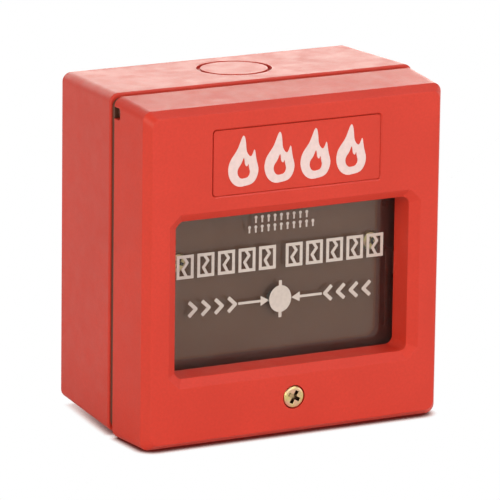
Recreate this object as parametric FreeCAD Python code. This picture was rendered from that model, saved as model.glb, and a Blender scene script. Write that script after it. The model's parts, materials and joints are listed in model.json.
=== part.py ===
import FreeCAD, Part
import math
import os

# Surface-mounted manual call point ("break glass" unit), millimetres.
# Origin: centre of the wall face.  +X right seen from the front, +Z up,
# and the front of the unit faces -Y, so "forward" means towards -Y.

V = FreeCAD.Vector

# ---- driving dimensions ----------------------------------------------------

# back box: drafted, so the wall end is a little smaller than the mouth
BOX_HALF_W = 44.0
BOX_HALF_H = 44.75
BOX_DRAFT_X = 1.75
BOX_DRAFT_Z = 0.95
BOX_DEPTH = 31.9
BOX_WALL = 2.4
CORNER_R = 2.4
MOUTH_Y = -BOX_DEPTH
POST_X = 28.1
POST_Z = 0.6
POST_R = 4.0
POST_END_Y = -30.0

# wall interface
WALL_SLOT_X = 30.15
WALL_SLOT_Z = 24.0
WALL_SLOT_R = 2.2
WALL_SLOT_LENGTH = 7.0
CABLE_Z = 18.0
CABLE_R = 10.0
KNOCKOUT_Y = -15.4
KNOCKOUT_OUTER_R = 9.95
KNOCKOUT_INNER_R = 8.75
KNOCKOUT_GROOVE = 0.9

# front cover: it hangs a little low on the box
COVER_REAR_Y = -33.45
COVER_FRONT_Y = -51.2
COVER_HALF_W = 43.7
COVER_HALF_H = 45.02
COVER_Z = -0.75
COVER_TAPER = 0.65
COVER_DROOP = 0.3
COVER_CHAMFER = 1.64
COVER_CHAMFER_DEPTH = 2.54
COVER_WALL = 2.2
COVER_FACE = 2.4
EDGE_ROUND = 0.3
HEEL_R = 0.5
HEEL_BEAD_R = 0.6
HEEL_Y = -33.95
HEEL_Z = 43.45

# window recess in the cover: sloping rim, then a straight wall to the pane
WINDOW_Z = -6.6
WINDOW_HALF_W = 33.85
WINDOW_HALF_H = 20.7
WINDOW_CORNER_R = 2.2
RIM_SIDE = 2.5
RIM_TOP = 2.15
RIM_DEPTH = 1.75
RIM_CUT = 3.0
TUBE_WALL = 2.0
TUBE_REAR_Y = -41.95

# title plate let into the cover
TITLE_Z = 28.64
TITLE_HALF_W = 24.6
TITLE_HALF_H = 9.0
TITLE_SLOPE = 0.4
TITLE_SINK = 0.4
TITLE_DEPTH = 1.4
TITLE_GAP = 0.1
TITLE_FRONT_Y = COVER_FRONT_Y + 0.2

# breakable pane and its print
PANE_FRONT_Y = -41.9
PANE_THICK = 1.5
PANE_REAR_Y = PANE_FRONT_Y + PANE_THICK
PANE_HALF_W = 35.4
PANE_HALF_H = 22.6
CLIP_SCREW_X = 39.2
PRINT_THICK = 0.12
PRINT_X = 0.45
PRINT_Z = -11.5

# inner chassis: flange on the box mouth with a raised platform
FLANGE_FRONT_Y = -33.25
FLANGE_HALF_W = 43.3
FLANGE_HALF_H = 43.5
PLATFORM_HALF_W = 32.0
PLATFORM_BOTTOM = -26.5
PLATFORM_TOP = 20.5
PLATFORM_FRONT_Y = -38.3
PLATFORM_WALL = 2.0
PLATFORM_REAR_Y = PLATFORM_FRONT_Y + PLATFORM_WALL
SHEET_THICK = 0.4
SHEET_FRONT_Y = PLATFORM_FRONT_Y - SHEET_THICK
SHEET_MARGIN = 1.5

# cover pegs on the chassis and the notches in the cover that hook over them
PEG_Y = -35.1
PEG_Z = 40.35
PEG_R = 1.3
NOTCH_DEPTH = 3.4
NOTCH_TOP = 41.85
NOTCH_BOTTOM = 38.75

# cover screw
SCREW_Z = -35.5
SCREW_R = 1.6
SCREW_HEAD_R = 3.0
SCREW_HEAD_H = 1.7
SCREW_POCKET_Y = COVER_FRONT_Y + 1.6
SCREW_TIP_Y = -33.0
INSERT_FRONT_Y = -37.0
INSERT_LENGTH = 3.0

# actuator pin and microswitch
PIN_Z = -11.8
PIN_R = 1.55
PIN_TIP_Y = -40.3
PIN_COLLAR_Y = -33.7
PIN_END_Y = -21.2
BRIDGE_Y = -27.6
BRIDGE_THICK = 1.6
BRIDGE_SCREW_X = 11.0
CASE_FRONT_Y = -19.2
CASE_REAR_Y = -9.0
CASE_BOTTOM = -22.5
CASE_TOP = -2.7
CASE_HALF_X = 3.2
CASE_SCREW_Y = -11.4
CASE_SCREW_Z = (-17.35, -7.85)
LEVER_PIVOT_Y = -20.5
LEVER_PIVOT_Z = -21.6
BUTTON_Z = -18.1
BLADE_Y = -15.5
BLADE_END_Z = -4.85
BLADE_THICK = 0.3

# terminal block
BLOCK_Z = 31.0
BLOCK_HALF_W = 20.0
BLOCK_HALF_H = 6.0
BLOCK_REAR_Y = -18.4
WAY_PITCH = 6.6
WAY_X = [(i - 1.5) * WAY_PITCH for i in range(4)]
BLOCK_SCREW_X = 17.0


# ---- shape helpers -----------------------------------------------------------

def box(x0, x1, y0, y1, z0, z1):
    return Part.makeBox(x1 - x0, y1 - y0, z1 - z0, V(x0, y0, z0))


def rod_y(x, z, y0, y1, r):
    return Part.makeCylinder(r, y1 - y0, V(x, y0, z), V(0, 1, 0))


def rod_x(y, z, x0, x1, r):
    return Part.makeCylinder(r, x1 - x0, V(x0, y, z), V(1, 0, 0))


def rod_z(x, y, z0, z1, r):
    return Part.makeCylinder(r, z1 - z0, V(x, y, z0), V(0, 0, 1))


def cone_y(x, z, y0, y1, r0, r1):
    return Part.makeCone(r0, r1, y1 - y0, V(x, y0, z), V(0, 1, 0))


def union(shapes):
    first = shapes[0]
    if len(shapes) == 1:
        return first
    return first.fuse(shapes[1:]).removeSplitter()


def flip_x(shape):
    return shape.mirror(V(0, 0, 0), V(1, 0, 0))


def both_sides(shape):
    return [shape, flip_x(shape)]


def round_outline(half_w, half_h, r, y, z=0.0):
    """Closed wire of a rounded rectangle in the plane at depth y."""
    inner_w = half_w - r
    inner_h = half_h - r
    k = r * math.sqrt(0.5)
    edges = []
    for sx, sz in ((1, 1), (-1, 1), (-1, -1), (1, -1)):
        side = V(sx * half_w, y, z + sz * inner_h)
        middle = V(sx * (inner_w + k), y, z + sz * (inner_h + k))
        end = V(sx * inner_w, y, z + sz * half_h)
        ring = [side, middle, end] if sx * sz > 0 else [end, middle, side]
        edges.append(Part.Arc(*ring).toShape())
    joined = []
    for i, edge in enumerate(edges):
        after = edges[(i + 1) % 4]
        joined.append(edge)
        joined.append(Part.makeLine(edge.Vertexes[-1].Point, after.Vertexes[0].Point))
    return Part.Wire(joined)


def cut_outline(half_w, half_h, cut, y, z=0.0):
    """Closed wire of a rectangle with its corners cut at 45 degrees."""
    w = half_w
    h = half_h
    ring = [(w, h - cut), (w - cut, h), (cut - w, h), (-w, h - cut),
            (-w, cut - h), (cut - w, -h), (w - cut, -h), (w, cut - h)]
    points = [V(x, y, z + dz) for x, dz in ring]
    return Part.makePolygon(points + points[:1])


def round_slab(half_w, half_h, r, y0, y1, z=0.0):
    wire = round_outline(half_w, half_h, r, y0, z)
    return Part.Face(wire).extrude(V(0, y1 - y0, 0))


def loft(wires):
    return Part.makeLoft(wires, True, True)


def prism_y(points, y0, y1):
    """Polygon of (x, z) points, extruded from y0 to y1."""
    ring = [V(x, y0, z) for x, z in points]
    face = Part.Face(Part.makePolygon(ring + ring[:1]))
    return face.extrude(V(0, y1 - y0, 0))


def stroke(a, b, width, y0, y1):
    """Straight bar of the given width between two (x, z) points."""
    dx = b[0] - a[0]
    dz = b[1] - a[1]
    length = math.hypot(dx, dz)
    nx = -dz / length * width / 2
    nz = dx / length * width / 2
    return prism_y([(a[0] + nx, a[1] + nz), (b[0] + nx, b[1] + nz),
                    (b[0] - nx, b[1] - nz), (a[0] - nx, a[1] - nz)], y0, y1)


def cable(points, r):
    """Round wire through the points, with ball corners."""
    pieces = []
    for a, b in zip(points, points[1:]):
        run = b.sub(a)
        pieces.append(Part.makeCylinder(r, run.Length, a, run))
    for p in points[1:-1]:
        pieces.append(Part.makeSphere(r, p))
    return union(pieces)


def cross_recess(x, z, y_face, arm, width, depth, turn=0.0):
    """Cross-shaped driver socket cut from the face at y_face, going back."""
    bars = [box(x - arm, x + arm, y_face - 1, y_face + depth, z - width / 2, z + width / 2),
            box(x - width / 2, x + width / 2, y_face - 1, y_face + depth, z - arm, z + arm)]
    socket = union(bars)
    socket.rotate(V(x, 0, z), V(0, 1, 0), turn)
    return socket


def pan_screw(x, z, y_seat, head_r, head_h, shank_r, length, turn=0.0, tip=0.8):
    """Front-facing screw: head stands forward of y_seat, shank runs back."""
    y_top = y_seat - head_h
    head = rod_y(x, z, y_top, y_seat, head_r)
    head = head.makeFillet(head_h * 0.45, [e for e in head.Edges if abs(e.CenterOfMass.y - y_top) < 1e-6
                                           and len(e.Vertexes) == 1])
    shank = rod_y(x, z, y_seat, y_seat + length - tip, shank_r)
    point = cone_y(x, z, y_seat + length - tip, y_seat + length, shank_r, shank_r * 0.35)
    socket = cross_recess(x, z, y_top, head_r * 0.6, head_r * 0.34, head_h * 0.8, turn)
    return union([head, shank, point]).cut(socket)


def rear_screw(x, z, y_seat, head_r, head_h, shank_r, length, turn=0.0):
    """Same screw driven from behind, its shank running forward."""
    screw = pan_screw(x, z, -y_seat, head_r, head_h, shank_r, length, turn)
    return screw.mirror(V(0, 0, 0), V(0, 1, 0))


def group(solids):
    return Part.makeCompound(solids)


# ---- back box ---------------------------------------------------------------

def slot_through(x, z, y0, y1):
    straight = WALL_SLOT_LENGTH / 2 - WALL_SLOT_R
    return union([box(x - straight, x + straight, y0, y1, z - WALL_SLOT_R, z + WALL_SLOT_R),
                  rod_y(x - straight, z, y0, y1, WALL_SLOT_R),
                  rod_y(x + straight, z, y0, y1, WALL_SLOT_R)])


def knockout_groove(z0, z1):
    outer = rod_z(0, KNOCKOUT_Y, z0, z1, KNOCKOUT_OUTER_R)
    return outer.cut(rod_z(0, KNOCKOUT_Y, z0 - 1, z1 + 1, KNOCKOUT_INNER_R))


def make_back_box():
    wall_w = BOX_HALF_W - BOX_DRAFT_X
    wall_h = BOX_HALF_H - BOX_DRAFT_Z
    shell = loft([round_outline(wall_w, wall_h, CORNER_R, 0.0),
                  round_outline(BOX_HALF_W, BOX_HALF_H, CORNER_R, MOUTH_Y)])
    rims = [e for e in shell.Edges
            if abs(e.BoundBox.YMin - e.BoundBox.YMax) < 1e-6]
    shell = shell.makeFillet(0.5, rims)
    floor_y = -BOX_WALL
    inner_r = CORNER_R - 1.0
    cavity = loft([round_outline(wall_w - BOX_WALL, wall_h - BOX_WALL, inner_r, floor_y),
                   round_outline(BOX_HALF_W - BOX_WALL, BOX_HALF_H - BOX_WALL, inner_r, MOUTH_Y - 0.01)])
    shell = shell.cut(cavity)
    posts = both_sides(rod_y(POST_X, POST_Z, POST_END_Y, floor_y, POST_R))
    ribs = both_sides(box(POST_X + 2.0, wall_w - 1.5, -20.0, floor_y, POST_Z - 0.8, POST_Z + 0.8))
    shell = union([shell] + posts + ribs)
    cuts = both_sides(rod_y(POST_X, POST_Z, POST_END_Y - 1, -12.0, 1.5))
    for x in (-WALL_SLOT_X, WALL_SLOT_X):
        for z in (-WALL_SLOT_Z, WALL_SLOT_Z):
            cuts.append(slot_through(x, z, floor_y - 1, 1.0))
    cuts.append(rod_y(0, CABLE_Z, floor_y - 1, 1.0, CABLE_R))
    skin_z = BOX_HALF_H - BOX_DRAFT_Z * (1 + KNOCKOUT_Y / BOX_DEPTH)
    cuts.append(knockout_groove(skin_z - KNOCKOUT_GROOVE, skin_z + 3))
    cuts.append(knockout_groove(-skin_z - 3, -skin_z + KNOCKOUT_GROOVE))
    return shell.cut(cuts)


# ---- inner chassis -----------------------------------------------------------

def make_chassis():
    flange = round_slab(FLANGE_HALF_W, FLANGE_HALF_H, 2.0, FLANGE_FRONT_Y, MOUTH_Y)
    spigot = round_slab(BOX_HALF_W - BOX_WALL - 0.25, BOX_HALF_H - BOX_WALL - 0.25, 1.4,
                        MOUTH_Y, MOUTH_Y + 3.0)
    spigot = spigot.cut(round_slab(BOX_HALF_W - BOX_WALL - 1.85, BOX_HALF_H - BOX_WALL - 1.85, 1.0,
                                   MOUTH_Y, MOUTH_Y + 3.0))
    mid_z = (PLATFORM_TOP + PLATFORM_BOTTOM) / 2
    half_h = (PLATFORM_TOP - PLATFORM_BOTTOM) / 2
    platform = round_slab(PLATFORM_HALF_W, half_h, 3.0, PLATFORM_FRONT_Y, MOUTH_Y, mid_z)
    hollow = round_slab(PLATFORM_HALF_W - PLATFORM_WALL, half_h - PLATFORM_WALL, 1.5,
                        PLATFORM_REAR_Y, MOUTH_Y + 1, mid_z)
    body = union([flange, spigot, platform]).cut(hollow)

    # screw towers, switch pillars, screw-insert boss and block bosses
    towers = both_sides(rod_y(POST_X, POST_Z, PLATFORM_FRONT_Y, POST_END_Y, 3.6))
    pillars = both_sides(box(BRIDGE_SCREW_X - 3, BRIDGE_SCREW_X + 3, PLATFORM_REAR_Y, BRIDGE_Y,
                             PIN_Z - 4, PIN_Z + 4))
    insert_boss = rod_y(0, SCREW_Z, INSERT_FRONT_Y, -28.5, 4.4)
    block_bosses = both_sides(rod_y(BLOCK_SCREW_X, BLOCK_Z, -38.0, FLANGE_FRONT_Y, 3.2))
    ears = both_sides(box(38.2, 40.5, PEG_Y - 1.6, FLANGE_FRONT_Y, NOTCH_BOTTOM, NOTCH_TOP - 0.1))
    pegs = both_sides(rod_x(PEG_Y, PEG_Z, 40.0, 42.5, PEG_R))
    # locating ribs beside the platform, open at the height of the screws
    ribs = []
    for z0, z1 in ((-24.0, -3.0), (8.0, 20.0)):
        ribs += both_sides(box(34.6, 35.8, -36.2, FLANGE_FRONT_Y, z0, z1))
    body = union([body, insert_boss] + towers + pillars + block_bosses + ears + pegs + ribs)

    cuts = both_sides(rod_y(POST_X, POST_Z, PLATFORM_FRONT_Y - 1, POST_END_Y + 1, 1.9))
    cuts += both_sides(rod_y(BRIDGE_SCREW_X, PIN_Z, PLATFORM_REAR_Y + 2, BRIDGE_Y + 1, 1.05))
    cuts += both_sides(rod_y(BLOCK_SCREW_X, BLOCK_Z, -37.0, MOUTH_Y + 1, 1.3))
    cuts.append(rod_y(0, PIN_Z, PLATFORM_FRONT_Y - 1, PLATFORM_REAR_Y + 1, PIN_R + 0.05))
    cuts.append(rod_y(0, SCREW_Z, INSERT_FRONT_Y - 1, INSERT_FRONT_Y + INSERT_LENGTH, 2.6))
    cuts.append(rod_y(0, SCREW_Z, INSERT_FRONT_Y, -27.0, 2.1))
    return body.cut(cuts)


def make_backing_plate():
    half_w = PLATFORM_HALF_W - SHEET_MARGIN
    bottom = PLATFORM_BOTTOM + 1.0
    top = PLATFORM_TOP - 1.0
    sheet = round_slab(half_w, (top - bottom) / 2, 3.0, SHEET_FRONT_Y, PLATFORM_FRONT_Y,
                       (top + bottom) / 2)
    holes = both_sides(rod_y(POST_X, POST_Z, SHEET_FRONT_Y - 1, PLATFORM_FRONT_Y + 1, 1.9))
    holes.append(rod_y(0, PIN_Z, SHEET_FRONT_Y - 1, PLATFORM_FRONT_Y + 1, 1.9))
    return sheet.cut(holes)


def make_plate_screws():
    return group([pan_screw(side * POST_X, POST_Z, SHEET_FRONT_Y, 2.5, 1.3, 1.45, 24.0, turn)
                  for side, turn in ((-1, 20), (1, 55))])


def make_screw_insert():
    y1 = INSERT_FRONT_Y + INSERT_LENGTH
    sleeve = rod_y(0, SCREW_Z, INSERT_FRONT_Y, y1, 2.6)
    for groove_y in (INSERT_FRONT_Y + 0.9, INSERT_FRONT_Y + 1.8):
        ring = rod_y(0, SCREW_Z, groove_y, groove_y + 0.3, 3.0)
        sleeve = sleeve.cut(ring.cut(rod_y(0, SCREW_Z, groove_y, groove_y + 0.3, 2.35)))
    return sleeve.cut(rod_y(0, SCREW_Z, INSERT_FRONT_Y - 1, y1 + 1, 1.75))


# ---- actuator pin, spring and switch bracket ------------------------------------

def make_actuator_pin():
    tip_r = 1.1
    tip = cone_y(0, PIN_Z, PIN_TIP_Y, PIN_TIP_Y + 0.5, tip_r, PIN_R)
    stem = rod_y(0, PIN_Z, PIN_TIP_Y + 0.5, PIN_COLLAR_Y, PIN_R)
    collar = rod_y(0, PIN_Z, PIN_COLLAR_Y, PIN_COLLAR_Y + 1.0, 3.2)
    tail = rod_y(0, PIN_Z, PIN_COLLAR_Y + 1.0, PIN_END_Y - 1.2, 1.2)
    nose = Part.makeSphere(1.2, V(0, PIN_END_Y - 1.2, PIN_Z))
    return union([tip, stem, collar, tail, nose])


def make_pin_spring():
    wire_r = 0.22
    mean_r = 2.0
    turns = 5.5
    steps_per_turn = 16
    start = PIN_COLLAR_Y + 1.0 + wire_r + 0.05
    end = BRIDGE_Y - wire_r - 0.05
    steps = int(turns * steps_per_turn)
    path = []
    for i in range(steps + 1):
        angle = 2 * math.pi * i / steps_per_turn
        path.append(V(mean_r * math.cos(angle), start + (end - start) * i / steps,
                      PIN_Z + mean_r * math.sin(angle)))
    section = Part.Wire(Part.makeCircle(wire_r, path[0], path[1].sub(path[0])))
    mitred_corners = 1
    return Part.makePolygon(path).makePipeShell([section], True, False, mitred_corners)


def make_switch_bracket():
    y0 = BRIDGE_Y
    y1 = BRIDGE_Y + BRIDGE_THICK
    bridge = box(-15.0, 15.0, y0, y1, PIN_Z - 5, PIN_Z + 5)
    back = box(-5.2, 5.2, y0, y1, CASE_BOTTOM, CASE_TOP)
    cheeks = both_sides(box(CASE_HALF_X + 0.05, 5.2, y0, CASE_REAR_Y - 0.5, CASE_BOTTOM, CASE_TOP))
    # the lever side of each cheek is trimmed so the lever can be seen and reached
    windows = both_sides(box(3.0, 6.0, y1 + 1.0, CASE_FRONT_Y - 1.0, CASE_BOTTOM - 1, CASE_TOP - 5))
    body = union([bridge, back] + cheeks)
    cuts = windows + both_sides(rod_y(BRIDGE_SCREW_X, PIN_Z, y0 - 1, y1 + 1, 1.4))
    cuts.append(rod_y(0, PIN_Z, y0 - 1, y1 + 1, 1.25))
    for z in CASE_SCREW_Z:
        cuts.append(rod_x(CASE_SCREW_Y, z, -6.0, 6.0, 1.1))
    return body.cut(cuts)


def make_bracket_screws():
    seat = BRIDGE_Y + BRIDGE_THICK
    return group([rear_screw(side * BRIDGE_SCREW_X, PIN_Z, seat, 2.2, 1.2, 1.0, 7.0, turn)
                  for side, turn in ((-1, 10), (1, 40))])


def make_switch_screws():
    screws = []
    for z in CASE_SCREW_Z:
        shank = rod_x(CASE_SCREW_Y, z, -5.2, 6.6, 1.0)
        head = rod_x(CASE_SCREW_Y, z, -6.6, -5.2, 1.9)
        slot = box(-7.0, -6.1, CASE_SCREW_Y - 2, CASE_SCREW_Y + 2, z - 0.25, z + 0.25)
        screws.append(union([shank, head]).cut(slot))
    return group(screws)


def make_switch_nuts():
    nuts = []
    for z in CASE_SCREW_Z:
        corners = [V(5.2, CASE_SCREW_Y + 2.1 * math.cos(math.radians(a)),
                     z + 2.1 * math.sin(math.radians(a))) for a in range(0, 360, 60)]
        nut = Part.Face(Part.makePolygon(corners + corners[:1])).extrude(V(1.4, 0, 0))
        nuts.append(nut.cut(rod_x(CASE_SCREW_Y, z, 5.0, 7.0, 1.05)))
    return group(nuts)


# ---- microswitch ---------------------------------------------------------------

def terminal_slots():
    """Openings in the case floor for the three terminals."""
    gap = 0.05
    rows = ((-21.05, -20.45, -1.5, 1.5), (-13.15, -12.55, -2.1, -1.1), (-4.65, -4.05, -1.5, 1.5))
    return [box(x0 - gap, x1 + gap, CASE_REAR_Y - 1.5, CASE_REAR_Y + 1, z0, z1)
            for z0, z1, x0, x1 in rows]


def make_switch_case():
    lid_x = CASE_HALF_X - 0.9
    body = box(-CASE_HALF_X, lid_x, CASE_FRONT_Y, CASE_REAR_Y, CASE_BOTTOM, CASE_TOP)
    cavity = box(-CASE_HALF_X + 0.9, lid_x + 1, CASE_FRONT_Y + 1, CASE_REAR_Y - 1,
                 CASE_BOTTOM + 1.1, CASE_TOP - 1.1)
    body = body.cut(cavity)
    bosses = [rod_x(CASE_SCREW_Y, z, -CASE_HALF_X, lid_x, 1.9) for z in CASE_SCREW_Z]
    # two ears carry the lever's pivot pin
    ear = box(2.1, CASE_HALF_X, -21.4, CASE_FRONT_Y, LEVER_PIVOT_Z - 0.9, LEVER_PIVOT_Z + 0.9)
    far_ear = flip_x(ear)
    near_ear = union([ear, box(2.1, lid_x, CASE_FRONT_Y, CASE_FRONT_Y + 0.8,
                               LEVER_PIVOT_Z - 0.9, LEVER_PIVOT_Z + 0.9)])
    body = union([body, near_ear, far_ear] + bosses)
    cuts = terminal_slots()
    cuts.append(rod_y(0, BUTTON_Z, CASE_FRONT_Y - 1, CASE_FRONT_Y + 2, 0.85))
    cuts.append(rod_x(LEVER_PIVOT_Y, LEVER_PIVOT_Z, -4, 4, 0.5))
    for z in CASE_SCREW_Z:
        cuts.append(rod_x(CASE_SCREW_Y, z, -4, 4, 1.1))
    return body.cut(cuts)


def make_switch_lid():
    lid = box(CASE_HALF_X - 0.9, CASE_HALF_X, CASE_FRONT_Y, CASE_REAR_Y, CASE_BOTTOM, CASE_TOP)
    holes = [rod_x(CASE_SCREW_Y, z, 1, 5, 1.1) for z in CASE_SCREW_Z]
    return lid.cut(holes)


def make_switch_button():
    stem = rod_y(0, BUTTON_Z, -19.85, BLADE_Y - 0.2, 0.8)
    cap = Part.makeSphere(0.8, V(0, -19.85, BUTTON_Z))
    return union([stem, cap])


def make_switch_lever():
    leaf = box(-2.0, 2.0, LEVER_PIVOT_Y - 0.6, LEVER_PIVOT_Y - 0.2, LEVER_PIVOT_Z, -6.5)
    curl = rod_x(LEVER_PIVOT_Y, LEVER_PIVOT_Z, -2.0, 2.0, 0.85)
    return union([leaf, curl]).cut(rod_x(LEVER_PIVOT_Y, LEVER_PIVOT_Z, -3, 3, 0.55))


def make_lever_pivot():
    return rod_x(LEVER_PIVOT_Y, LEVER_PIVOT_Z, -CASE_HALF_X, CASE_HALF_X, 0.5)


def make_contact_blade():
    half = BLADE_THICK / 2
    strip = box(-0.9, 0.9, BLADE_Y - half, BLADE_Y + half, -20.9, BLADE_END_Z)
    round_end = rod_x(BLADE_Y, BLADE_END_Z, -0.9, 0.9, half)
    slot = box(-0.35, 0.35, BLADE_Y - 1, BLADE_Y + 1, -15.5, -7.0)
    return union([strip, round_end]).cut(slot)


def make_common_terminal():
    leg = box(-1.5, 1.5, -16.4, -5.0, -4.6, -4.1)
    return leg.cut(rod_z(0, -6.2, -5, -3, 0.6))


def make_make_terminal():
    pad = box(-0.9, 0.9, BLADE_Y + 0.17, -14.6, -21.0, -19.4)
    leg = box(-1.5, 1.5, -14.6, -5.0, -21.0, -20.5)
    return union([pad, leg]).cut(rod_z(0, -6.2, -22, -19, 0.6))


def make_break_terminal():
    pad = box(-2.1, 0.9, -17.1, -16.65, -21.0, -19.4)
    rail = box(-2.1, -1.1, -17.1, -16.65, -20.0, -12.6)
    leg = box(-2.1, -1.1, -17.1, -5.0, -13.1, -12.6)
    return union([pad, rail, leg])


# ---- terminal block and wires ------------------------------------------------------

def make_terminal_block():
    front = MOUTH_Y
    body = box(-BLOCK_HALF_W, BLOCK_HALF_W, front, BLOCK_REAR_Y, BLOCK_Z - BLOCK_HALF_H,
               BLOCK_Z + BLOCK_HALF_H)
    cuts = both_sides(rod_y(BLOCK_SCREW_X, BLOCK_Z, front - 1, BLOCK_REAR_Y + 1, 1.4))
    cuts += both_sides(rod_y(BLOCK_SCREW_X, BLOCK_Z, BLOCK_REAR_Y - 3, BLOCK_REAR_Y + 1, 2.6))
    for x in WAY_X:
        # clamp pocket from the chassis side, driver hole from behind, wire hole from below
        cuts.append(box(x - 2.4, x + 2.4, front - 1, -24.4, BLOCK_Z - 3.4, BLOCK_Z + 3.4))
        cuts.append(rod_y(x, BLOCK_Z, -25.0, BLOCK_REAR_Y + 1, 2.2))
        cuts.append(rod_z(x, -27.6, BLOCK_Z - BLOCK_HALF_H - 1, BLOCK_Z - 3.0, 1.3))
        cuts.append(rod_z(x, -27.6, BLOCK_Z + 3.0, BLOCK_Z + BLOCK_HALF_H + 1, 1.3))
    for x in WAY_X[:-1]:
        rib_x = x + WAY_PITCH / 2
        cuts.append(box(rib_x - 0.4, rib_x + 0.4, BLOCK_REAR_Y - 1.5, BLOCK_REAR_Y + 1,
                        BLOCK_Z - 7, BLOCK_Z + 7))
    return body.cut(cuts)


def make_terminal_clamps():
    clamps = []
    for x in WAY_X:
        cage = box(x - 2.3, x + 2.3, -31.7, -24.5, BLOCK_Z - 3.3, BLOCK_Z + 3.3)
        cage = cage.cut(box(x - 1.5, x + 1.5, -30.8, -26.2, BLOCK_Z - 4, BLOCK_Z + 4))
        clamps.append(cage.cut(rod_y(x, BLOCK_Z, -26.5, -24.0, 1.3)))
    return group(clamps)


def make_terminal_screws():
    return group([rear_screw(x, BLOCK_Z, -22.5, 1.9, 1.6, 1.25, 5.5, 15 + 25 * i)
                  for i, x in enumerate(WAY_X)])


def make_block_screws():
    return group([rear_screw(side * BLOCK_SCREW_X, BLOCK_Z, BLOCK_REAR_Y - 3, 2.4, 1.4, 1.2, 15.2, turn)
                  for side, turn in ((-1, 5), (1, 65))])


def make_wire(side, leg_z, way_x):
    return cable([V(side * 1.5, -5.8, leg_z), V(side * 16.0, -5.8, leg_z), V(side * 19.0, -14.0, 6.0),
                  V(way_x, -27.6, 17.0), V(way_x, -27.6, 27.3)], 0.8)


# ---- front cover -------------------------------------------------------------------

def cover_outline(inset, y, droop=COVER_DROOP):
    """Outline of the cover; the front stands a little lower than the rear edge."""
    return round_outline(COVER_HALF_W - inset, COVER_HALF_H - inset, CORNER_R, y, COVER_Z - droop)


def ring_at(shape, y):
    """The edges of a shape that lie in the plane at depth y."""
    return [e for e in shape.Edges
            if abs(e.BoundBox.YMin - y) < 1e-5 and abs(e.BoundBox.YMax - y) < 1e-5]


def cover_shell():
    """Tapered walls, a sloping front edge all round and a hollow behind."""
    edge_y = COVER_FRONT_Y + COVER_CHAMFER_DEPTH
    body = loft([cover_outline(0.0, COVER_REAR_Y, 0.0), cover_outline(COVER_TAPER, edge_y)])
    body = body.makeFillet(HEEL_R, ring_at(body, COVER_REAR_Y))
    nose = loft([cover_outline(COVER_TAPER, edge_y),
                 cover_outline(COVER_TAPER + COVER_CHAMFER, COVER_FRONT_Y)])
    nose = nose.makeFillet(EDGE_ROUND, ring_at(nose, COVER_FRONT_Y))
    inner_w = COVER_HALF_W - COVER_WALL
    inner_h = COVER_HALF_H - COVER_WALL
    inner = loft([round_outline(inner_w, inner_h, 1.2, COVER_REAR_Y + 0.01, COVER_Z),
                  round_outline(inner_w - 0.3, inner_h - 0.3, 1.2, COVER_FRONT_Y + COVER_FACE, COVER_Z)])
    return union([body, nose]).cut(inner)


def window_opening():
    """Straight-sided opening with a sloping rim whose corners are cut off."""
    hole = round_slab(WINDOW_HALF_W, WINDOW_HALF_H, WINDOW_CORNER_R, COVER_FRONT_Y - 1, TUBE_REAR_Y + 1,
                      WINDOW_Z)
    rim = loft([cut_outline(WINDOW_HALF_W + RIM_SIDE, WINDOW_HALF_H + RIM_TOP, RIM_CUT,
                            COVER_FRONT_Y, WINDOW_Z),
                cut_outline(WINDOW_HALF_W, WINDOW_HALF_H, RIM_CUT - 1.2, COVER_FRONT_Y + RIM_DEPTH,
                            WINDOW_Z)])
    return [hole, rim]


def title_recess():
    """Shallow sloping border round a pocket that holds the title plate."""
    y1 = COVER_FRONT_Y + TITLE_SINK
    slope = loft([round_outline(TITLE_HALF_W, TITLE_HALF_H, 1.2, COVER_FRONT_Y, TITLE_Z),
                  round_outline(TITLE_HALF_W - TITLE_SLOPE, TITLE_HALF_H - TITLE_SLOPE, 0.8, y1, TITLE_Z)])
    pocket = round_slab(TITLE_HALF_W - TITLE_SLOPE, TITLE_HALF_H - TITLE_SLOPE, 0.8,
                        COVER_FRONT_Y, COVER_FRONT_Y + TITLE_DEPTH, TITLE_Z)
    return [slope, pocket]


def peg_notch():
    """Notch with rounded inner corners, open at the rear edge of the side wall."""
    round_r = 0.8
    floor_y = COVER_REAR_Y - NOTCH_DEPTH
    low = NOTCH_BOTTOM + round_r
    high = NOTCH_TOP - round_r
    return union([box(40.0, 45.0, floor_y + round_r, COVER_REAR_Y + 1, NOTCH_BOTTOM, NOTCH_TOP),
                  box(40.0, 45.0, floor_y, COVER_REAR_Y, low, high),
                  rod_x(floor_y + round_r, high, 40.0, 45.0, round_r),
                  rod_x(floor_y + round_r, low, 40.0, 45.0, round_r)])


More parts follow.
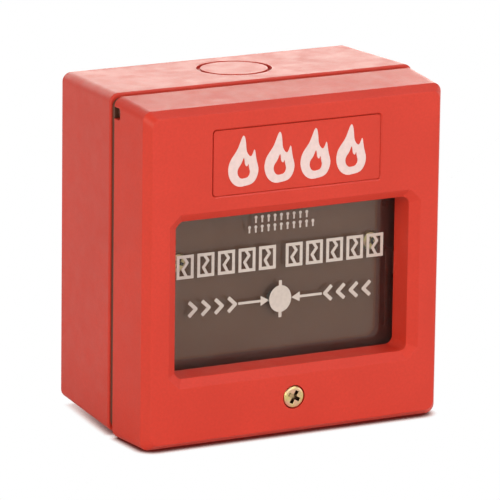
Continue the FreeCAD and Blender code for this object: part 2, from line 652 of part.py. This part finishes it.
def make_front_cover():
    face_y = COVER_FRONT_Y + COVER_FACE - 0.5
    tube = round_slab(WINDOW_HALF_W + TUBE_WALL, WINDOW_HALF_H + TUBE_WALL, WINDOW_CORNER_R + 1,
                      face_y, TUBE_REAR_Y, WINDOW_Z)
    screw_boss = rod_y(0, SCREW_Z, face_y, INSERT_FRONT_Y - 0.2, 4.0)
    clip_bosses = both_sides(box(37.3, 41.8, face_y, PANE_REAR_Y, WINDOW_Z - 4, WINDOW_Z + 4))
    # the cover rocks on two beads inside its top rear edge
    beads = both_sides(rod_x(HEEL_Y, HEEL_Z, 24.0, 34.0, HEEL_BEAD_R))
    body = union([cover_shell(), tube, screw_boss] + clip_bosses + beads)

    cuts = window_opening() + title_recess()
    cuts.append(rod_y(0, SCREW_Z, COVER_FRONT_Y - 1, SCREW_POCKET_Y, SCREW_HEAD_R + 0.15))
    cuts.append(rod_y(0, SCREW_Z, COVER_FRONT_Y - 1, COVER_FRONT_Y + 5, 1.85))
    cuts.append(rod_y(0, SCREW_Z, COVER_FRONT_Y + 4.2, INSERT_FRONT_Y + 1, 2.5))
    cuts += both_sides(rod_y(CLIP_SCREW_X, WINDOW_Z, PANE_REAR_Y - 6, PANE_REAR_Y + 1, 1.05))
    cuts += both_sides(peg_notch())
    cover = body.cut(cuts)
    rim_edges = [e for e in ring_at(cover, COVER_FRONT_Y)
                 if abs(e.CenterOfMass.x) < WINDOW_HALF_W + RIM_SIDE + 0.1
                 and abs(e.CenterOfMass.z - WINDOW_Z) < WINDOW_HALF_H + RIM_TOP + 0.1]
    return cover.makeFillet(EDGE_ROUND, rim_edges)


def make_title_plate():
    inset = TITLE_SLOPE + TITLE_GAP
    return round_slab(TITLE_HALF_W - inset, TITLE_HALF_H - inset, 0.8,
                      TITLE_FRONT_Y, COVER_FRONT_Y + TITLE_DEPTH, TITLE_Z)


def flame_outline(cx, cz, w, h):
    """Closed flame curve: round foot, leaning tip and one side tongue."""
    ring = [(0.0, -0.50), (-0.32, -0.44), (-0.50, -0.20), (-0.42, 0.04), (-0.24, 0.20), (-0.12, 0.36),
            (0.0, 0.50), (0.08, 0.32), (0.14, 0.14), (0.25, 0.08), (0.36, 0.20), (0.42, 0.04),
            (0.50, -0.20), (0.34, -0.44)]
    return [(cx + u * w, cz + v * h) for u, v in ring]


def curved_slab(points, y0, y1):
    curve = Part.BSplineCurve()
    curve.interpolate([V(x, y0, z) for x, z in points], PeriodicFlag=True)
    face = Part.Face(Part.Wire(curve.toShape()))
    return face.extrude(V(0, y1 - y0, 0))


def make_title_symbols():
    """A row of four flames stands in for the printed heading."""
    y1 = TITLE_FRONT_Y
    y0 = y1 - 0.15
    flames = []
    for i in range(4):
        x = (i - 1.5) * 10.4
        outer = curved_slab(flame_outline(x, TITLE_Z, 8.6, 13.2), y0, y1)
        core = curved_slab(flame_outline(x + 0.1, TITLE_Z - 1.9, 3.6, 5.4), y0 - 1, y1 + 1)
        flames.append(outer.cut(core))
    return group(flames)


def make_glass_pane():
    return round_slab(PANE_HALF_W, PANE_HALF_H, 1.0, PANE_FRONT_Y, PANE_REAR_Y, WINDOW_Z)


def cracked_pane(x, z, w, h, y0, y1):
    """Open square frame with a zigzag crack: the sign for a broken pane."""
    t = 0.8
    frame = box(x - w / 2, x + w / 2, y0, y1, z - h / 2, z + h / 2)
    frame = frame.cut(box(x - w / 2 + t, x + w / 2 - t, y0 - 1, y1 + 1, z - h / 2 + t, z + h / 2 - t))
    path = [(x - 0.5, z + h / 2 - t / 2), (x + 0.6, z + 1.1),
            (x - 0.7, z - 0.6), (x + 0.5, z - h / 2 + t / 2)]
    bars = [stroke(a, b, 0.75, y0, y1) for a, b in zip(path, path[1:])]
    joints = [rod_y(p[0], p[1], y0, y1, 0.375) for p in path[1:-1]]
    return union([frame] + bars + joints)


def chevron(x, z, w, h, way, y0, y1):
    tip = (x + way * w / 2, z)
    tail = x - way * w / 2
    bars = [stroke((tail, z + h / 2), tip, 0.95, y0, y1), stroke((tail, z - h / 2), tip, 0.95, y0, y1)]
    return union(bars + [rod_y(tip[0], tip[1], y0, y1, 0.475)])


def pressing_arrow(way, y0, y1):
    """Arrow from one side whose head touches the disc."""
    tip_x = PRINT_X - way * 3.3
    head = prism_y([(tip_x, PRINT_Z), (tip_x - way * 2.4, PRINT_Z + 1.3),
                    (tip_x - way * 2.4, PRINT_Z - 1.3)], y0, y1)
    shaft = stroke((tip_x - way * 8.9, PRINT_Z), (tip_x - way * 2.0, PRINT_Z), 0.65, y0, y1)
    return union([head, shaft])


def pressing_disc(y0, y1):
    """The spot to press: an upright oval with a tick above and below."""
    oval = Part.Ellipse(V(0, 0, 0), 3.57, 3.2).toShape()
    oval.rotate(V(0, 0, 0), V(1, 0, 0), 90)
    oval.rotate(V(0, 0, 0), V(0, 1, 0), 90)
    oval.translate(V(PRINT_X, y0, PRINT_Z))
    disc = Part.Face(Part.Wire(oval)).extrude(V(0, y1 - y0, 0))
    tick = box(PRINT_X - 0.42, PRINT_X + 0.42, y0, y1, PRINT_Z - 4.95, PRINT_Z + 4.9)
    return union([disc, tick])


def pin_mark(x, z, h, y0, y1):
    """Small upright pin with a round head."""
    return union([rod_y(x, z + h * 0.28, y0, y1, h * 0.22),
                  box(x - 0.22, x + 0.22, y0, y1, z - h / 2, z + h * 0.2)])


def make_glass_print():
    y1 = PANE_FRONT_Y
    y0 = y1 - PRINT_THICK
    marks = [pressing_disc(y0, y1), pressing_arrow(1, y0, y1), pressing_arrow(-1, y0, y1)]
    for i in range(4):
        away = 25.5 - i * 3.8
        marks.append(chevron(PRINT_X - away, PRINT_Z, 2.0, 3.8, 1, y0, y1))
        marks.append(chevron(PRINT_X + away, PRINT_Z, 2.0, 3.8, -1, y0, y1))
    for i in range(5):
        away = 27.7 - i * 5.95
        marks.append(cracked_pane(PRINT_X - away, -0.1, 4.9, 6.3, y0, y1))
        marks.append(cracked_pane(PRINT_X + away, -0.1, 4.9, 6.3, y0, y1))
    for row, count in ((10.4, 9), (7.85, 11)):
        for i in range(count):
            marks.append(pin_mark(PRINT_X + (i - (count - 1) / 2) * 1.85, row, 1.9, y0, y1))
    return group(marks)


def make_pane_clips():
    clip = box(34.8, 41.0, PANE_REAR_Y + 0.02, PANE_REAR_Y + 0.72, WINDOW_Z - 3.5, WINDOW_Z + 3.5)
    clip = clip.cut(rod_y(CLIP_SCREW_X, WINDOW_Z, PANE_REAR_Y - 1, PANE_REAR_Y + 2, 1.2))
    return group(both_sides(clip))


def make_clip_screws():
    return group([rear_screw(side * CLIP_SCREW_X, WINDOW_Z, PANE_REAR_Y + 0.72, 1.7, 0.9, 1.0, 5.5, turn)
                  for side, turn in ((-1, 0), (1, 30))])


def make_cover_screw():
    seat = SCREW_POCKET_Y - 0.03
    return pan_screw(0, SCREW_Z, seat, SCREW_HEAD_R, SCREW_HEAD_H, SCREW_R, SCREW_TIP_Y - seat, 30)


def make_screw_washer():
    y0 = COVER_FRONT_Y + 9.4
    ring = rod_y(0, SCREW_Z, y0, y0 + 1.2, 2.4)
    return ring.cut(rod_y(0, SCREW_Z, y0 - 1, y0 + 2, SCREW_R + 0.04))


# ---- export -------------------------------------------------------------------------

NODES = {
    "back_box": make_back_box,
    "chassis": make_chassis,
    "backing_plate": make_backing_plate,
    "plate_screws": make_plate_screws,
    "screw_insert": make_screw_insert,
    "actuator_pin": make_actuator_pin,
    "pin_spring": make_pin_spring,
    "switch_bracket": make_switch_bracket,
    "bracket_screws": make_bracket_screws,
    "switch_case": make_switch_case,
    "switch_lid": make_switch_lid,
    "switch_button": make_switch_button,
    "switch_lever": make_switch_lever,
    "lever_pivot": make_lever_pivot,
    "contact_blade": make_contact_blade,
    "common_terminal": make_common_terminal,
    "make_terminal": make_make_terminal,
    "break_terminal": make_break_terminal,
    "switch_screws": make_switch_screws,
    "switch_nuts": make_switch_nuts,
    "terminal_block": make_terminal_block,
    "terminal_clamps": make_terminal_clamps,
    "terminal_screws": make_terminal_screws,
    "block_screws": make_block_screws,
    "red_wire": lambda: make_wire(1, -20.75, WAY_X[3]),
    "black_wire": lambda: make_wire(-1, -4.35, WAY_X[0]),
    "front_cover": make_front_cover,
    "title_plate": make_title_plate,
    "title_symbols": make_title_symbols,
    "glass_pane": make_glass_pane,
    "glass_print": make_glass_print,
    "pane_clips": make_pane_clips,
    "clip_screws": make_clip_screws,
    "cover_screw": make_cover_screw,
    "screw_washer": make_screw_washer,
}

os.makedirs("parts", exist_ok=True)
for node, make in NODES.items():
    shape = make()
    shape.exportStep("parts/" + node + ".step")
    print(node, "solids", len(shape.Solids), "valid", shape.isValid(), "volume", round(shape.Volume, 2))
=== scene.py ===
import json
import math

import bpy
from mathutils import Matrix, Vector


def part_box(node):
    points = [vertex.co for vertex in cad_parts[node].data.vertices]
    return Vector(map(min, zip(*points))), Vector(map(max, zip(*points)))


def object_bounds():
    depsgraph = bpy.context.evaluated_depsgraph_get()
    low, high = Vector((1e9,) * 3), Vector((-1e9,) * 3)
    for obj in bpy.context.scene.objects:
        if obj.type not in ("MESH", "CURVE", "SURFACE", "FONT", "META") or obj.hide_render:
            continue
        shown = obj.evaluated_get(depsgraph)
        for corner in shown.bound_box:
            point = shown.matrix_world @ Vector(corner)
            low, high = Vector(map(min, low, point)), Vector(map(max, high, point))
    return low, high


# Looks for the manual call point.  Metres, in the CAD frame: the wall face is at y = 0 and the front
# faces -Y.

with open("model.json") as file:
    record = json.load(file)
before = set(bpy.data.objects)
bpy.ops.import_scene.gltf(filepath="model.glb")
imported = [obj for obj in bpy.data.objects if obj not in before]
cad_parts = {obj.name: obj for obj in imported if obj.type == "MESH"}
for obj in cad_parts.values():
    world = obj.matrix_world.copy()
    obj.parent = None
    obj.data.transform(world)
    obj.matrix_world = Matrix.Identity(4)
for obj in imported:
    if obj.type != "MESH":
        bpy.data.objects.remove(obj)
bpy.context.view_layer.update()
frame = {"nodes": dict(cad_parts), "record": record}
MM = 0.001

# camera: it looks from the left of the object and a little above, from far away with a long lens.
# The sensor and the lens are in millimetres, as Blender wants them.
CAMERA_YAW = math.radians(27.816)
CAMERA_PITCH = math.radians(14.381)
CAMERA_ROLL = math.radians(0.784)
CAMERA_DISTANCE = 1.341
CAMERA_SENSOR = 36.0
CAMERA_LENS = 376.4
CAMERA_NEAR = 0.05
CAMERA_FAR = 20.0
# how far the middle of the front lies right of and above the middle of the view
SIDE_SHIFT = 0.011836
LIFT_SHIFT = -0.003558

# light: what the white surroundings give as soft fill and as reflections, then the softboxes
WORLD_FILL = 0.35
WORLD_GLOSS = 0.45
LIGHT_TARGET = (0, -0.03, 0)
NEUTRAL = (1.0, 1.0, 1.0)
# name, place, size across and up, power in watts, tint
SOFTBOXES = [
    ("front_softbox", (0.15, -1.2, 0.35), (0.9, 0.7), 4.5, (1.0, 0.97, 0.90)),
    ("left_softbox", (-1.2, -0.6, 0.4), (0.7, 0.7), 7.7, (1.0, 0.92, 0.75)),
    ("right_softbox", (1.1, -0.7, 0.05), (0.8, 0.7), 3.0, NEUTRAL),
    ("top_back_softbox", (0.45, 0.95, 0.26), (1.6, 0.5), 10.4, (0.97, 1.0, 0.90)),
    ("overhead_softbox", (0.35, -0.30, 0.95), (0.25, 0.2), 2.2, NEUTRAL),
]
FLOOR_SIZE = 8.0
CONTACT_REACH = 2.5 * MM

# surface detail, as noise cells per metre: a low number gives wide patches, a high one fine grain
BLOTCH_SCALE = 60.0
POLISH_SCALE = 240.0
WEAR_SCALE = 350.0
SPECK_SCALE = 1500.0
GRAIN_SCALE = 3800.0
METAL_TINT_SCALE = 420.0
SCRATCH_SCALE = 1500.0
INK_TINT_SCALE = 900.0
INK_GLOSS_SCALE = 500.0
INK_GRAIN_SCALE = 2500.0
SMUDGE_SCALE = 45.0
PANE_GLOSS_SCALE = 120.0

# height of the bumps
GRAIN_DEPTH = 0.04 * MM
SCRATCH_DEPTH = 0.02 * MM
INK_DEPTH = 0.02 * MM

# how far the shading rounds an edge off, and how far in from an edge the wear reaches
PLASTIC_EDGE = 0.22 * MM
METAL_EDGE = 0.12 * MM
WEAR_REACH = 0.4 * MM
# how far around a point the painted socket shade looks for other surfaces
SOCKET_DEPTH = 1.5 * MM
EDGE_SAMPLES = 4
SHELTER_SAMPLES = 8

# how far an edge goes towards its worn colour at most
PLASTIC_WEAR = 0.3
METAL_WEAR = 0.4
# how much roughness an edge would lose if it were fully worn
EDGE_POLISH = 0.7
# how strongly the plastics reflect, where 0.5 is an ordinary plastic
PLASTIC_SPECULAR = 0.35

# noise values mostly lie between these two
NOISE_RANGE = (0.3, 0.7)
# agreement of the rounded and the true normal, from a flat face to an edge
EDGE_RANGE = (0.995, 0.90)
# openness of a point, from an open face to deep in a socket
SHELTER_RANGE = (0.75, 0.45)


# ---- small node helpers ---------------------------------------------------------

class Tree:
    """A material's node tree with short calls for adding and joining nodes."""

    def __init__(self, name):
        self.material = bpy.data.materials.new(name)
        self.material.use_nodes = True
        self.nodes = self.material.node_tree.nodes
        self.links = self.material.node_tree.links
        self.nodes.clear()
        self.out = self.nodes.new("ShaderNodeOutputMaterial")
        self.coords = self.nodes.new("ShaderNodeTexCoord").outputs["Object"]

    def put(self, socket, value):
        """Joins an output to the input socket, or gives the socket a plain value."""
        if isinstance(value, bpy.types.NodeSocket):
            self.links.new(value, socket)
        else:
            socket.default_value = value

    def add(self, kind, settings=None, **inputs):
        """New node.  Input names have spaces where the keywords have underscores."""
        node = self.nodes.new(kind)
        for key, value in (settings or {}).items():
            setattr(node, key, value)
        for key, value in inputs.items():
            self.put(node.inputs[key.replace("_", " ")], value)
        return node

    def noise(self, scale, detail, coords=None):
        node = self.add("ShaderNodeTexNoise", Scale=scale, Detail=detail, Roughness=0.5)
        self.put(node.inputs["Vector"], coords or self.coords)
        return node.outputs["Fac"]

    def ramp(self, value, stops):
        """Colour ramp through the given (place, colour) stops."""
        node = self.nodes.new("ShaderNodeValToRGB")
        self.put(node.inputs["Fac"], value)
        elements = node.color_ramp.elements
        while len(elements) < len(stops):
            elements.new(0.5)
        for element, (place, tint) in zip(elements, stops):
            element.position = place
            element.color = tint
        return node.outputs["Color"]

    def map_range(self, value, given, wanted):
        """Maps the range given onto the range wanted, both as (start, end)."""
        node = self.nodes.new("ShaderNodeMapRange")
        self.put(node.inputs["Value"], value)
        self.put(node.inputs["From Min"], given[0])
        self.put(node.inputs["From Max"], given[1])
        self.put(node.inputs["To Min"], wanted[0])
        self.put(node.inputs["To Max"], wanted[1])
        return node.outputs["Result"]

    def varied(self, noise, low, high):
        """Turns a noise value into one that wanders between low and high."""
        return self.map_range(noise, NOISE_RANGE, (low, high))

    def calculate(self, operation, *values):
        node = self.add("ShaderNodeMath", {"operation": operation})
        for socket, value in zip(node.inputs, values):
            self.put(socket, value)
        return node.outputs[0]

    def mix(self, factor, a, b):
        """Colour a where the factor is 0, colour b where it is 1."""
        node = self.add("ShaderNodeMix", {"data_type": "RGBA"})
        # a Mix node has inputs for every data type: 6 and 7 are the two colours
        for index, value in ((0, factor), (6, a), (7, b)):
            self.put(node.inputs[index], value)
        return node.outputs[2]

    def mix_shaders(self, factor, a, b):
        """Shader a where the factor is 0, shader b where it is 1."""
        node = self.nodes.new("ShaderNodeMixShader")
        self.put(node.inputs[0], factor)
        self.put(node.inputs[1], a.outputs[0])
        self.put(node.inputs[2], b.outputs[0])
        return node

    def bump(self, height, distance, strength, normal=None):
        node = self.add("ShaderNodeBump", Distance=distance, Strength=strength, Height=height)
        if normal is not None:
            self.put(node.inputs["Normal"], normal)
        return node.outputs["Normal"]

    def soft_edges(self, radius):
        """Normals that round every edge off by the radius."""
        return self.add("ShaderNodeBevel", {"samples": EDGE_SAMPLES}, Radius=radius).outputs["Normal"]

    def edge_mask(self, radius):
        """About 1 where two faces meet at an edge, 0 on flats."""
        rounded = self.soft_edges(radius)
        true = self.nodes.new("ShaderNodeNewGeometry").outputs["Normal"]
        agreement = self.add("ShaderNodeVectorMath", {"operation": "DOT_PRODUCT"})
        self.put(agreement.inputs[0], rounded)
        self.put(agreement.inputs[1], true)
        return self.map_range(agreement.outputs["Value"], EDGE_RANGE, (0.0, 1.0))

    def edge_wear(self, amount):
        """Edge wear broken up by noise, so that it isn't an even outline."""
        patches = self.varied(self.noise(WEAR_SCALE, 3.0), 0.2 * amount, amount)
        return self.calculate("MULTIPLY", self.edge_mask(WEAR_REACH), patches)

    def shelter(self, reach, only_local=True):
        """Openness: 1 on open faces, less where other surfaces lie within reach."""
        settings = {"samples": SHELTER_SAMPLES, "only_local": only_local}
        return self.add("ShaderNodeAmbientOcclusion", settings, Distance=reach).outputs["AO"]

    def socket_shade_mask(self, depth):
        """Mask for painted shade: about 1 deep in sockets and corners, 0 on open faces."""
        return self.map_range(self.shelter(depth), SHELTER_RANGE, (0.0, 1.0))

    def surface(self, shader):
        """Ends the tree with this shader and gives back the finished material."""
        self.put(self.out.inputs["Surface"], shader.outputs[0])
        return self.material


def colour(r, g, b):
    return (r, g, b, 1.0)


def scaled(base, factor, lift=0.0):
    """The colour made lighter or darker by a factor, plus a lift towards white."""
    return colour(*(min(1.0, channel * factor + lift) for channel in base[:3]))


# ---- kinds of material ---------------------------------------------------------

def plastic(name, base, rough, grain=0.5):
    """Moulded plastic: fine spark-eroded grain, faint blotches and rubbed edges."""
    tree = Tree(name)
    blotch_stops = [(0.32, scaled(base, 0.95)), (0.68, scaled(base, 1.03, 0.002))]
    blotches = tree.ramp(tree.noise(BLOTCH_SCALE, 4.0), blotch_stops)
    specks = tree.varied(tree.noise(SPECK_SCALE, 3.0), 0.0, 0.5)
    speckled = tree.mix(specks, blotches, scaled(base, 0.86))
    rubbed = tree.edge_wear(PLASTIC_WEAR)
    tint = tree.mix(rubbed, speckled, scaled(base, 1.12, 0.02))
    normal = tree.bump(tree.noise(GRAIN_SCALE, 2.0), GRAIN_DEPTH, grain, tree.soft_edges(PLASTIC_EDGE))
    # rubbed edges are smoother than the moulded grain
    moulded = tree.varied(tree.noise(POLISH_SCALE, 3.0), rough - 0.05, rough + 0.05)
    roughness = tree.calculate("MULTIPLY_ADD", rubbed, -EDGE_POLISH, moulded)
    shader = tree.add("ShaderNodeBsdfPrincipled", Base_Color=tint, Roughness=roughness, Normal=normal,
                      Specular_IOR_Level=PLASTIC_SPECULAR)
    return tree.surface(shader)


def metal(name, tints, rough, brushed=(1, 1, 1), socket_shade_depth=0.0):
    """Plated or bare metal with two tints, fine scratches, bright edges and, when given a depth,
    painted shade in its sockets.
    """
    base, second = tints
    tree = Tree(name)
    stretched = tree.add("ShaderNodeMapping", Vector=tree.coords, Scale=brushed)
    tint = tree.mix(tree.varied(tree.noise(METAL_TINT_SCALE, 3.0), 0.0, 1.0), base, second)
    tint = tree.mix(tree.edge_wear(METAL_WEAR), tint, scaled(base, 1.2, 0.05))
    # painted shade: sockets such as a screw's cross recess are darkened towards a dark brown
    if socket_shade_depth:
        tint = tree.mix(tree.socket_shade_mask(socket_shade_depth), tint, PAINTED_SOCKET_SHADE)
    scratches = tree.noise(SCRATCH_SCALE, 3.0, stretched.outputs["Vector"])
    normal = tree.bump(scratches, SCRATCH_DEPTH, 0.5, tree.soft_edges(METAL_EDGE))
    roughness = tree.varied(scratches, rough - 0.08, rough + 0.1)
    shader = tree.add("ShaderNodeBsdfPrincipled", Base_Color=tint, Metallic=1.0, Roughness=roughness,
                      Normal=normal)
    return tree.surface(shader)


def ink(name, base):
    """Screen-printed ink: near white, slightly uneven, matt."""
    tree = Tree(name)
    cover = tree.varied(tree.noise(INK_TINT_SCALE, 4.0), 0.0, 1.0)
    tint = tree.mix(cover, scaled(base, 0.9), base)
    normal = tree.bump(tree.noise(INK_GRAIN_SCALE, 2.0), INK_DEPTH, 0.4)
    roughness = tree.varied(tree.noise(INK_GLOSS_SCALE, 2.0), 0.5, 0.65)
    shader = tree.add("ShaderNodeBsdfPrincipled", Base_Color=tint, Roughness=roughness, Normal=normal)
    return tree.surface(shader)


def clear_pane(name):
    """Thin clear pane: see-through with a faint haze and a soft mirror reflection."""
    tree = Tree(name)
    through = tree.add("ShaderNodeBsdfTransparent", Color=colour(0.95, 0.95, 0.94))
    haze = tree.add("ShaderNodeBsdfDiffuse", Color=colour(0.80, 0.74, 0.70))
    smudges = tree.varied(tree.noise(SMUDGE_SCALE, 4.0), 0.004, 0.016)
    body = tree.mix_shaders(smudges, through, haze)
    gloss = tree.varied(tree.noise(PANE_GLOSS_SCALE, 3.0), 0.02, 0.10)
    mirror = tree.add("ShaderNodeBsdfGlossy", Roughness=gloss)
    fresnel = tree.add("ShaderNodeFresnel", IOR=1.45)
    return tree.surface(tree.mix_shaders(fresnel.outputs[0], body, mirror))


# ---- materials of the pieces ----------------------------------------------------------

BOX_RED = colour(0.66, 0.046, 0.026)
COVER_RED = colour(0.68, 0.042, 0.021)
CHASSIS_BROWN = colour(0.125, 0.050, 0.032)
SHEET_BROWN = colour(0.21, 0.080, 0.034)
SYMBOL_WHITE = colour(0.87, 0.67, 0.66)
PRINT_WHITE = colour(0.69, 0.62, 0.57)
PIN_WHITE = colour(0.80, 0.77, 0.70)
NYLON = colour(0.72, 0.70, 0.64)
BLOCK_GREY = colour(0.62, 0.62, 0.58)
LID_GREY = colour(0.10, 0.10, 0.11)
CASE_BLACK = colour(0.028, 0.028, 0.032)
BRACKET_BLACK = colour(0.022, 0.022, 0.024)
BUTTON_RED = colour(0.50, 0.05, 0.04)
WIRE_RED = colour(0.45, 0.03, 0.025)
WIRE_BLACK = colour(0.016, 0.016, 0.017)
# dark brown painted into metal sockets as painted shade
PAINTED_SOCKET_SHADE = colour(0.10, 0.055, 0.035)
# each metal has a main tint and a second one that clouds it
ZINC = (colour(0.74, 0.70, 0.26), colour(0.84, 0.50, 0.40))
BRASS = (colour(0.72, 0.50, 0.22), colour(0.60, 0.42, 0.20))
NICKEL = (colour(0.62, 0.60, 0.56), colour(0.50, 0.49, 0.47))
STEEL = (colour(0.56, 0.56, 0.56), colour(0.42, 0.42, 0.43))


# material slot of the record: kind of material and its settings
LOOKS = {
    "box_red": (plastic, {"base": BOX_RED, "rough": 0.46}),
    "cover_red": (plastic, {"base": COVER_RED, "rough": 0.44, "grain": 0.45}),
    "title_red": (plastic, {"base": COVER_RED, "rough": 0.42, "grain": 0.35}),
    "symbol_white": (ink, {"base": SYMBOL_WHITE}),
    "chassis_brown": (plastic, {"base": CHASSIS_BROWN, "rough": 0.45, "grain": 0.4}),
    "sheet_brown": (plastic, {"base": SHEET_BROWN, "rough": 0.55, "grain": 0.3}),
    "pane_glass": (clear_pane, {}),
    "print_white": (ink, {"base": PRINT_WHITE}),
    # the zinc screws get painted shade in their sockets
    "zinc_yellow": (metal, {"tints": ZINC, "rough": 0.34, "socket_shade_depth": SOCKET_DEPTH}),
    "brass": (metal, {"tints": BRASS, "rough": 0.32}),
    "nickel": (metal, {"tints": NICKEL, "rough": 0.28}),
    "steel": (metal, {"tints": STEEL, "rough": 0.30, "brushed": (1, 1, 0.1)}),
    "pin_white": (plastic, {"base": PIN_WHITE, "rough": 0.3, "grain": 0.2}),
    "bracket_black": (plastic, {"base": BRACKET_BLACK, "rough": 0.45}),
    "switch_black": (plastic, {"base": CASE_BLACK, "rough": 0.4}),
    "switch_lid_grey": (plastic, {"base": LID_GREY, "rough": 0.45}),
    "button_red": (plastic, {"base": BUTTON_RED, "rough": 0.3, "grain": 0.2}),
    "block_grey": (plastic, {"base": BLOCK_GREY, "rough": 0.45}),
    "wire_red": (plastic, {"base": WIRE_RED, "rough": 0.35, "grain": 0.2}),
    "wire_black": (plastic, {"base": WIRE_BLACK, "rough": 0.35, "grain": 0.2}),
    "washer_nylon": (plastic, {"base": NYLON, "rough": 0.4, "grain": 0.2}),
}


def make_materials():
    return {slot: kind(slot, **settings) for slot, (kind, settings) in LOOKS.items()}


def dress_nodes():
    """Gives each CAD node the material of its slot in the record."""
    materials = make_materials()
    for row in frame["record"]["subparts"]:
        piece = frame["nodes"][row["node"]]
        piece.data.materials.clear()
        piece.data.materials.append(materials[row["material_slot"]])


# ---- stage, light and camera ---------------------------------------------------------------

def floor_material():
    """White to the camera with a thin painted contact shadow, tinted red as a painted reflection of the
    box; light grey to the object, clear from below.
    """
    tree = Tree("floor_white")
    contact = tree.shelter(CONTACT_REACH, only_local=False)
    # painted contact shadow, dark red as a painted reflection of the red box
    shadow_stops = [(0.30, colour(0.10, 0.008, 0.006)),
                    (0.60, colour(0.75, 0.55, 0.52)),
                    (0.85, colour(*NEUTRAL))]
    seen = tree.add("ShaderNodeEmission", Color=tree.ramp(contact, shadow_stops), Strength=1.0)
    paper = tree.add("ShaderNodeBsdfDiffuse", Color=colour(0.88, 0.86, 0.85))
    rays = tree.nodes.new("ShaderNodeLightPath")
    topside = tree.mix_shaders(rays.outputs["Is Camera Ray"], paper, seen)
    side = tree.nodes.new("ShaderNodeNewGeometry")
    underside = tree.nodes.new("ShaderNodeBsdfTransparent")
    return tree.surface(tree.mix_shaders(side.outputs["Backfacing"], topside, underside))


def make_floor():
    """A pale floor that touches the lowest point of the object."""
    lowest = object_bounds()[0].z
    bpy.ops.mesh.primitive_plane_add(size=FLOOR_SIZE, location=(0, 0, lowest))
    floor = bpy.context.object
    floor.name = "floor"
    floor.data.materials.append(floor_material())


def make_world():
    """White behind the object; dimmer as a light, so that the softboxes shape the object."""
    world = bpy.data.worlds.new("studio")
    bpy.context.scene.world = world
    world.use_nodes = True
    nodes = world.node_tree.nodes
    links = world.node_tree.links
    background = nodes["Background"]
    background.inputs["Color"].default_value = colour(*NEUTRAL)
    rays = nodes.new("ShaderNodeLightPath")
    total = None
    amounts = {"Is Camera Ray": 1.0, "Is Diffuse Ray": WORLD_FILL, "Is Glossy Ray": WORLD_GLOSS}
    for socket, amount in amounts.items():
        step = nodes.new("ShaderNodeMath")
        step.operation = "MULTIPLY_ADD"
        links.new(rays.outputs[socket], step.inputs[0])
        step.inputs[1].default_value = amount
        if total is None:
            step.inputs[2].default_value = 0.0
        else:
            links.new(total, step.inputs[2])
        total = step.outputs[0]
    links.new(total, background.inputs["Strength"])


def softbox(name, place, size, power, tint):
    """Rectangular light aimed at the middle of the object."""
    data = bpy.data.lights.new(name, "AREA")
    data.shape = "RECTANGLE"
    data.size, data.size_y = size
    data.energy = power
    data.color = tint
    lamp = bpy.data.objects.new(name, data)
    bpy.context.scene.collection.objects.link(lamp)
    lamp.location = place
    aim = Vector(LIGHT_TARGET) - Vector(place)
    lamp.rotation_euler = aim.to_track_quat("-Z", "Y").to_euler()


def make_lights():
    for row in SOFTBOXES:
        softbox(*row)


def make_camera():
    """Camera at the photo's angle, turned about the middle of the cover's front."""
    yaw = CAMERA_YAW
    pitch = CAMERA_PITCH
    back = Vector((-math.sin(yaw) * math.cos(pitch), -math.cos(yaw) * math.cos(pitch), math.sin(pitch)))
    side = Vector((math.cos(yaw), -math.sin(yaw), 0))
    lift = back.cross(side)
    right = side * math.cos(CAMERA_ROLL) + lift * math.sin(CAMERA_ROLL)
    up = lift * math.cos(CAMERA_ROLL) - side * math.sin(CAMERA_ROLL)
    front_centre = Vector((0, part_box("front_cover")[0].y, 0))
    data = bpy.data.cameras.new("camera")
    data.sensor_width = CAMERA_SENSOR
    data.lens = CAMERA_LENS
    data.clip_start = CAMERA_NEAR
    data.clip_end = CAMERA_FAR
    camera = bpy.data.objects.new("camera", data)
    bpy.context.scene.collection.objects.link(camera)
    place = front_centre - right * SIDE_SHIFT - up * LIFT_SHIFT + back * CAMERA_DISTANCE
    turn = Matrix((right, up, back)).transposed()
    camera.matrix_world = Matrix.Translation(place) @ turn.to_4x4()
    bpy.context.scene.camera = camera


dress_nodes()
make_floor()
make_world()
make_lights()
make_camera()
bpy.context.scene.view_settings.view_transform = "Standard"
bpy.context.scene.view_settings.look = "None"
